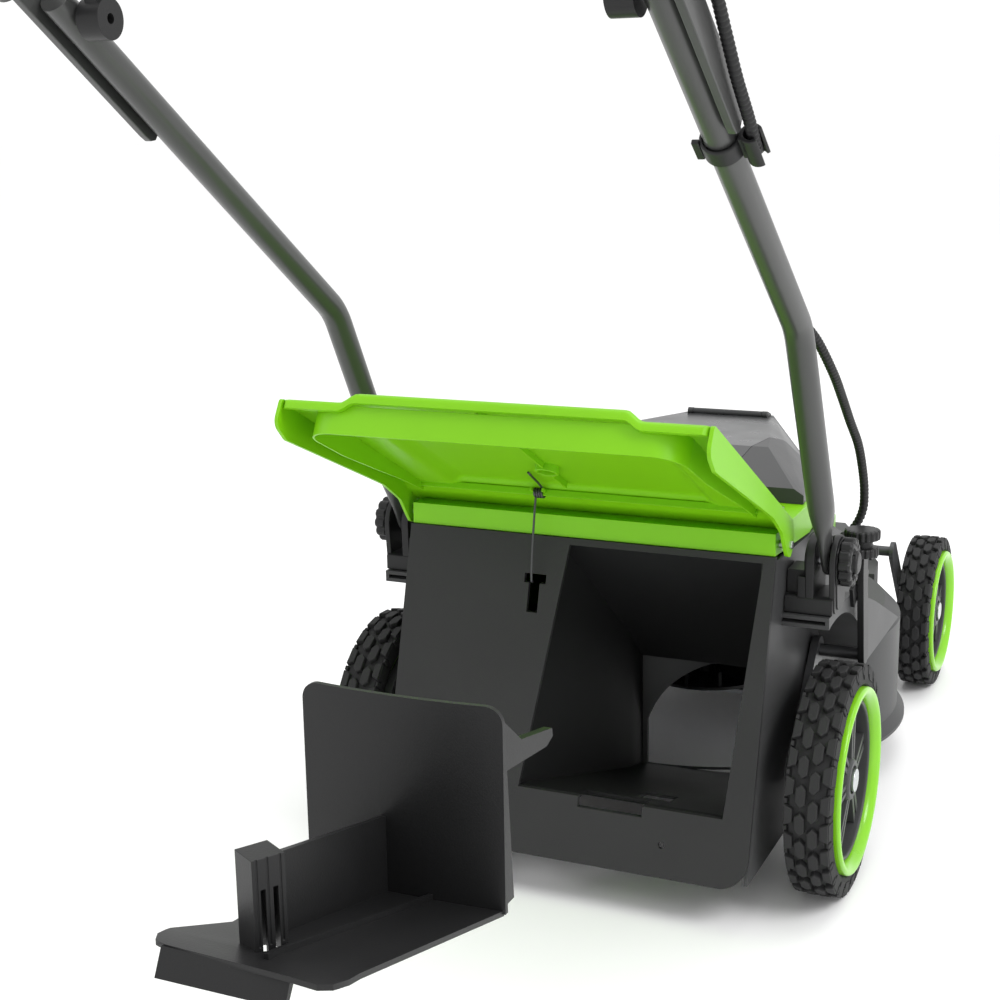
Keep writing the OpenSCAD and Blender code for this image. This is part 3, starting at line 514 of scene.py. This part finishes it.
ROUTE = [(129, -736, 880), (150, -736, 881), (170, -724, 874), (182, -704, 862), (186, -674, 846),
         (186, -616, 806), (186, -550, 762), (186, -496, 728), (188, -466, 718), (191, -428, 694),
         (195, -394, 671), (198, -367, 650), (198, -345, 628), (198, -324, 606), (198, -300, 585),
         (197, -283, 571), (194, -266, 569), (186, -250, 572), (175, -234, 562), (171, -210, 542),
         (171, -180, 518), (171, -138, 489), (171, -118, 475), (172, -98, 462), (175, -82, 450),
         (181, -62, 434), (186, -34, 408), (186, -4, 386), (186, 24, 364), (187, 50, 342),
         (187, 68, 320), (187, 78, 300), (185, 84, 282), (178, 86, 267), (168, 84, 258), (161, 84, 256)]
CLIP = ROUTE.index((197, -283, 571))


def evenly(points, gap):
    """The same path with its points one gap apart."""
    out, carried = [points[0]], 0.0
    for a, b in zip(points, points[1:]):
        span = (b - a).length
        while carried + span >= gap:
            a = a + (b - a).normalized() * (gap - carried)
            span = (b - a).length
            out.append(a.copy())
            carried = 0.0
        carried += span
    return out


def corrugated(name, route, body):
    """A stretch of the sleeve, whose radius rises and falls every four rings."""
    ribs = (0.0036, 0.00345, 0.0029, 0.00345)
    path = evenly(curve_through([at(*p) for p in route], 12), 0.0009)
    s = Shape()
    s.sweep(path, lambda i, n: (ribs[i % 4],) * 2, 12)
    return mesh_piece(name, s.v, s.f, "cable", body, ["cable"])


corrugated("cable_above_clip", ROUTE[:CLIP + 1],
           ("lower_handle", "upper_handle_group", at(198, -345, 628), at(186, -496, 728)))
corrugated("cable_below_clip", ROUTE[:CLIP - 1:-1],
           ("chassis", "lower_handle", at(187, 78, 300), at(181, -62, 434)))


def cable_hook():
    """Collar on the right tube with an open hook round the cable and a tab on its other side."""
    clip_low, clip_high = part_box("cable_clip")
    centre = Vector((TUBE_X, (clip_low.y + clip_high.y) / 2, (clip_low.z + clip_high.z) / 2))

    def place(x, along, out):
        return centre + Vector((x / MM, 0, 0)) + UP * (along / MM) + ACROSS * (out / MM)
    s = Shape()
    s.lathe([(-7, 10.2), (-7, 11.6), (-6, 12.2), (6, 12.2), (7, 11.6), (7, 10.2)], 64,
            lambda along, r, a: place(r * math.cos(a), along, r * math.sin(a)))
    arc = [math.radians(50 + 14 * k) for k in range(21)]
    hook = [(19 + 6.6 * math.cos(a), 2 + 6.6 * math.sin(a)) for a in arc]
    hook += [(19 + 4.4 * math.cos(a), 2 + 4.4 * math.sin(a)) for a in reversed(arc)]
    s.ring_stack([[place(x, along, out) for x, out in hook] for along in (-12, 12)])
    s.box((11, -9, -1.4), (14, 9, 4.6), lambda p: place(*p))
    s.box((-15.5, -8, 3), (-11, 8, 6), lambda p: place(*p))
    return mesh_piece("cable_hook", s.v, s.f, "black", "lower_handle", ["cable_clip"], crease=0.0006)


cable_hook()


# ---------------------------------------------------------------- rear flap

def smooth_step(value, start, end):
    """0 before start, 1 after end, and an S-curve between."""
    t = min(1, max(0, (value - start) / (end - start)))
    return t * t * (3 - 2 * t)


FLAP_TILT = math.radians(180 - 28)
HINGE_Y, HINGE_Z = -30, 279
FLAP_GAP, FLAP_HALF = 16, 157


def on_flap(x, y, z):
    """A point in the open flap's own frame, in millimetres: across, outwards, and towards its underside."""
    z -= FLAP_GAP
    return at(x, HINGE_Y + y * math.cos(FLAP_TILT) - z * math.sin(FLAP_TILT),
              HINGE_Z + y * math.sin(FLAP_TILT) + z * math.cos(FLAP_TILT))


def rounded_polygon(points, radii, steps=6):
    """Corners of a closed outline replaced by arcs."""
    out = []
    n = len(points)
    for i, (p, r) in enumerate(zip(points, radii)):
        p = Vector((p[0], p[1], 0))
        a, b = Vector((*points[i - 1], 0)), Vector((*points[(i + 1) % n], 0))
        u, v = (a - p).normalized(), (b - p).normalized()
        if r <= 0 or u.angle(v) > 3.1:
            out.append((p.x, p.y))
            continue
        half = u.angle(v) / 2
        cut = min(r / math.tan(half), 0.48 * (a - p).length, 0.48 * (b - p).length)
        rr = cut * math.tan(half)
        centre = p + (u + v).normalized() * (rr / math.sin(half))
        s0, s1 = p + u * cut - centre, p + v * cut - centre
        for k in range(steps + 1):
            q = centre + arc_between(s0, s1, k / steps)
            out.append((q.x, q.y))
    return out


def arc_points(cx, cy, radius, start, end, step=9):
    """Points on a circle from one angle to another, in degrees."""
    count = round(abs(end - start) / step)
    turns = [math.radians(start + (end - start) * k / count) for k in range(count + 1)]
    return [(cx + radius * math.cos(a), cy + radius * math.sin(a)) for a in turns]


def flap():
    """The moulded plate with its skirts, its sealing rib and the small ribs under it."""
    s = Shape()
    xs = [-FLAP_HALF + 2 * FLAP_HALF * i / 96 for i in range(97)]
    ys = [-4, 0, 6, 14, 22, 28, 30, 32, 34, 36, 38, 40, 42, 46] + [54 + 12 * i for i in range(14)] + \
         [216, 219, 221, 222.5, 224, 225, 226, 226.6, 227]

    def crown(x, y):
        return smooth_step(abs(x), 110, 97) * smooth_step(y, 28, 42)

    def half_width(y):
        return 156.5 if y < 211 else 156.5 - 9 * (1 - math.sqrt(max(0, 1 - ((y - 211) / 16.5) ** 2)))

    def top(x, y):
        roll = 5 - math.sqrt(max(0, 25 - max(0, y - 222) ** 2))
        return -3 - 7 * crown(x, y) + roll + 2.5 * smooth_step(abs(x), 150, 157) ** 2

    def under(x, y):
        step = 2.4 * smooth_step(y, 26, 22) + 2.2 * smooth_step(y, 12, 9)
        return 0 - 6.4 * crown(x, y) + step + 4.5 * smooth_step(y, 217, 223)
    # the plate, as one grid for each face and a strip round their edge
    n, rows = len(xs), len(ys)
    off = rows * n
    for face in (top, under):
        for y in ys:
            for x in xs:
                xx = x / FLAP_HALF * half_width(y)
                s.v.append(on_flap(xx, y, face(xx, y)))
    for j in range(rows - 1):
        for a in range(j * n, j * n + n - 1):
            b = off + a
            s.f.append((a, a + 1, a + n + 1, a + n))
            s.f.append((b, b + n, b + n + 1, b + 1))
    for ids in (range(0, off, n), range(n - 1, off, n), range(n), range(off - n, off)):
        for a, b in zip(ids, ids[1:]):
            s.f.append((a, b, off + b, off + a))
    # side skirts that run down into the hinge arms
    skirt = rounded_polygon([(-9, 16), (-8, 8), (2, -2.6), (226, -2.6), (227, 17), (209, 23), (89, 13.4),
                             (58, 11), (26, 14), (10, 22), (2, 25.5), (-6, 24)],
                            [4, 5, 6, 3, 9, 7, 20, 30, 14, 8, 5, 5])
    for side in (-1, 1):
        outer = [on_flap(side * FLAP_HALF, a, b) for a, b in skirt]
        inner = [on_flap(side * 154.2, a, b) for a, b in skirt]
        s.ring_stack([inner, outer])
    # sealing rib, a U of thin wall under the plate
    path = [(-136, 28), (-136, 60), (-136, 110), (-136, 160)]
    path += arc_points(-114, 199, 22, 180, 90)
    path += [(-60, 221), (0, 221), (60, 221)]
    path += arc_points(114, 199, 22, 90, 0)
    path += [(136, 160), (136, 110), (136, 60), (136, 28)]
    rings = []
    for i, (x, y) in enumerate(path):
        a, b = path[max(i - 1, 0)], path[min(i + 1, len(path) - 1)]
        d = Vector((b[0] - a[0], b[1] - a[1])).normalized()
        nx, ny = -d.y * 1.1, d.x * 1.1
        deep = 4.5 + 15 * smooth_step(y, 10, 200)
        rings.append([on_flap(x + nx, y + ny, -1), on_flap(x - nx, y - ny, -1),
                      on_flap(x - nx * 0.7, y - ny * 0.7, deep), on_flap(x + nx * 0.7, y + ny * 0.7, deep)])
    s.ring_stack(rings)
    # centre rib, boss ring, cross ribs, spring bracket
    for x0, y0, x1, y1, z0, z1 in ((-9.4, 44, -7.6, 77, -7, -1.5), (-9.4, 95, -7.6, 219, -7, -2.2),
                                   (-138, 33.2, 138, 35, -2, 3.2), (-40, 20, -38, 40, -1.5, 1.2),
                                   (-30, 20, -28, 40, -1.5, 1.2)):
        s.box((x0, y0, z0), (x1, y1, z1), lambda p: on_flap(*p))
    s.lathe([(-7, 9), (-1.2, 9), (-0.8, 8.4), (-0.8, 7.2), (-1.2, 6.9), (-7, 6.9)], 40,
            lambda z, q, a: on_flap(-8.5 + q * math.cos(a), 86 + q * math.sin(a), z))
    return mesh_piece("rear_flap_moulding", s.v, s.f, "green", "flap", ["rear_flap"], crease=0.0005)


flap()


def flap_spring():
    """A small coil between the flap's two lugs, with one leg on the flap and one down to the panel's slot."""
    wire, turns = 0.0009, 4
    middle = on_flap(-38, 33, 0.9)
    coil = [middle + Vector((0.008 * (k / (24 * turns)), 0.0032 * math.cos(2 * math.pi * k / 24),
                             0.0032 * math.sin(2 * math.pi * k / 24))) for k in range(24 * turns + 1)]
    slot = at(-38.5, -57, 238)
    down = [slot, slot + Vector((0, -0.002, 0.006)), middle.lerp(slot, 0.3)]
    along = [on_flap(-30, 48, -3), on_flap(-30, 70, -4.6)]
    s = Shape()
    s.sweep(curve_through(down + coil + along, 3), lambda i, n: (wire, wire), 10)
    return mesh_piece("flap_spring_wire", s.v, s.f, "crank", ("chassis", "flap", slot, middle),
                      ["flap_spring"])


flap_spring()


# ---------------------------------------------------------------- handle brackets

def bracket(side_name, side):
    """Two rounded lobes either side of the tube's flat foot, with ribs, on a shared foot."""
    s = Shape()

    def lobe(radius, foot_half, foot_z, x0, x1):
        corner = min(6, foot_half)
        outline = arc_points(0, PIVOT_Z, radius, -10, 190, 200 / 28)
        outline += arc_points(-foot_half + corner, foot_z + corner, corner, 180, 270, 15)
        outline += arc_points(foot_half - corner, foot_z + corner, corner, 270, 360, 15)
        s.ring_stack([[at(side * x, y, z) for y, z in outline] for x in (x0, x1)])
    lobe(20, 19, 224, 166, 172.4)
    lobe(16, 15, 228, 164, 166.5)
    lobe(20, 17, 224, 183.6, 188)
    lobe(17, 12, 226, 187.6, 189)
    for y in (-19, -1.2, 16.6):
        s.box((160, y, 226), (166.2, y + 2.4, 252), lambda p: at(side * p.x, p.y, p.z))
    foot = [(-20, 224.2), (20, 224.2), (20, 236), (16, 238), (-16, 238), (-20, 236)]
    s.ring_stack([[at(side * x, y, z) for y, z in foot] for x in (150.5, 187)])
    s.box((150.5, -13, 237), (166, 13, 256), lambda p: at(side * p.x, p.y, p.z))
    return mesh_piece("bracket_lobes_" + side_name, s.v, s.f, "black", "chassis", ["bracket_" + side_name],
                      crease=0.0011)


bracket("right", 1)
bracket("left", -1)


# ---------------------------------------------------------------- knobs

def fluted(s, place, profile, flutes, depth, sides=144):
    """Turns (along, radius) pairs with a scalloped edge; pairs inside 9 mm stay round."""
    turns = [2 * math.pi * k / sides for k in range(sides)]
    rings = []
    for along, radius in profile:
        cut = depth if radius > 9 else 0
        rings.append([place(along, radius - cut * (0.5 - 0.5 * math.cos(flutes * a)) ** 2, a) for a in turns])
    s.ring_stack(rings)


def hand_knob(side_name, side):
    """Ribbed knob outside the bracket, with three round sockets."""
    place = wheel_place(189.3, 0, PIVOT_Z, side)
    s = Shape()
    fluted(s, place, [(0, 14), (0, 17.6), (1, 18.8), (7.6, 18.8), (9.2, 17.8), (9.8, 15.4), (9, 13.4),
                      (9, 8.8), (11.4, 8.6), (12.4, 7.4), (12.6, 5)], 12, 2.2)
    for turn in (90, 210, 330):
        s.ring_stack([small_ring(place, along, 11.2, math.radians(turn), q)
                      for along, q in ((8.6, 2.4), (10.4, 2.4), (10.4, 1.5), (9.2, 1.4))])
    mesh_piece("hand_knob_" + side_name, s.v, s.f, "black", "hand_knob_" + side_name,
               ["pivot_knob_" + side_name], crease=0.0004)


def height_knob():
    """Two ribbed discs on one stem, with short ribs under the lower disc."""
    low, high = (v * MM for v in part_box("height_knob"))
    x, y = (low.x + high.x) / 2, (low.y + high.y) / 2 - AXLE_Y * MM

    def place(along, radius, angle):
        return at(x + radius * math.cos(angle), y + radius * math.sin(angle), low.z + along)
    s = Shape()
    fluted(s, place, [(0, 10), (0.4, 12.2), (1.4, 13), (6.4, 13), (7.6, 12.2), (8, 8.2), (13, 8.2),
                      (13.4, 12), (14, 13.6), (15.4, 14), (20, 14), (21.4, 13.2), (22, 10.4)], 18, 0.9)
    for turn in range(0, 360, 40):
        s.box((9, -0.6, -0.9), (12.2, 0.6, 0.2),
              lambda p: place(p.z, math.hypot(p.x, p.y), math.radians(turn) + math.atan2(p.y, p.x)))
    mesh_piece("height_knob_discs", s.v, s.f, "black", "rear_crank", ["height_knob"], crease=0.0004)


hand_knob("right", 1)
hand_knob("left", -1)
height_knob()


# ---------------------------------------------------------------- CAD parts kept as they are

EDGE = {"deck_shell": 0.0012, "top_cover": 0.0016, "motor_cover": 0.004, "mulch_plug": 0.0008,
        "plug_latch": 0.0014, "rear_panel": 0.0009, "chute_tunnel": 0.0006, "rear_housing": 0.001}
for name, o in NODES.items():
    if o.hide_render:
        continue
    dress(o, SLOT_OF[name])
    soften(o, EDGE.get(name, 0.0005))

# ---------------------------------------------------------------- floor, light, camera

world = bpy.data.worlds.new("studio")
bpy.context.scene.world = world
world.use_nodes = True
world.node_tree.nodes["Background"].inputs[0].default_value = (1, 1, 1, 1)
world.node_tree.nodes["Background"].inputs[1].default_value = 1.05

floor_mesh = bpy.data.meshes.new("floor")
FLOOR = 50
floor_mesh.from_pydata([(-FLOOR, -FLOOR, 0), (FLOOR, -FLOOR, 0), (FLOOR, FLOOR, 0), (-FLOOR, FLOOR, 0)], [],
                       [(0, 1, 2, 3)])
floor = bpy.data.objects.new("floor", floor_mesh)
bpy.context.scene.collection.objects.link(floor)
floor_mesh.materials.append(material("floor_white", (0.96, 0.96, 0.96), 0.95, spread=0.002))


def lamp(name, where, aim, size, power):
    data = bpy.data.lights.new(name, "AREA")
    data.shape, data.size, data.energy = "DISK", size, power
    o = bpy.data.objects.new(name, data)
    bpy.context.scene.collection.objects.link(o)
    o.location = where
    o.rotation_mode = "QUATERNION"
    o.rotation_quaternion = (Vector(aim) - Vector(where)).to_track_quat("-Z", "Y")


middle = (0, 0.1, 0.3)
lamp("key", (2.2, -0.6, 2.4), middle, 1.4, 45)
lamp("fill", (-2.4, -1.4, 1.4), middle, 2.0, 6)
lamp("top", (0.2, 0.6, 3.0), middle, 2.0, 20)

camera = bpy.data.objects.new("camera", bpy.data.cameras.new("camera"))
bpy.context.scene.collection.objects.link(camera)
bpy.context.scene.camera = camera
camera.data.sensor_width = 36
camera.data.lens = 59.14
yaw, pitch, roll = math.radians(24.726), math.radians(12.962), math.radians(0.952)
camera.matrix_world = (Matrix.Translation(Vector((0.452594, -1.181265 + AXLE_Y, 0.585669)))
                       @ Matrix.Rotation(yaw, 4, "Z") @ Matrix.Rotation(math.pi / 2 - pitch, 4, "X")
                       @ Matrix.Rotation(-roll, 4, "Z"))
camera.data.clip_start, camera.data.clip_end = 0.02, 200

bpy.context.scene.view_settings.view_transform = "Standard"
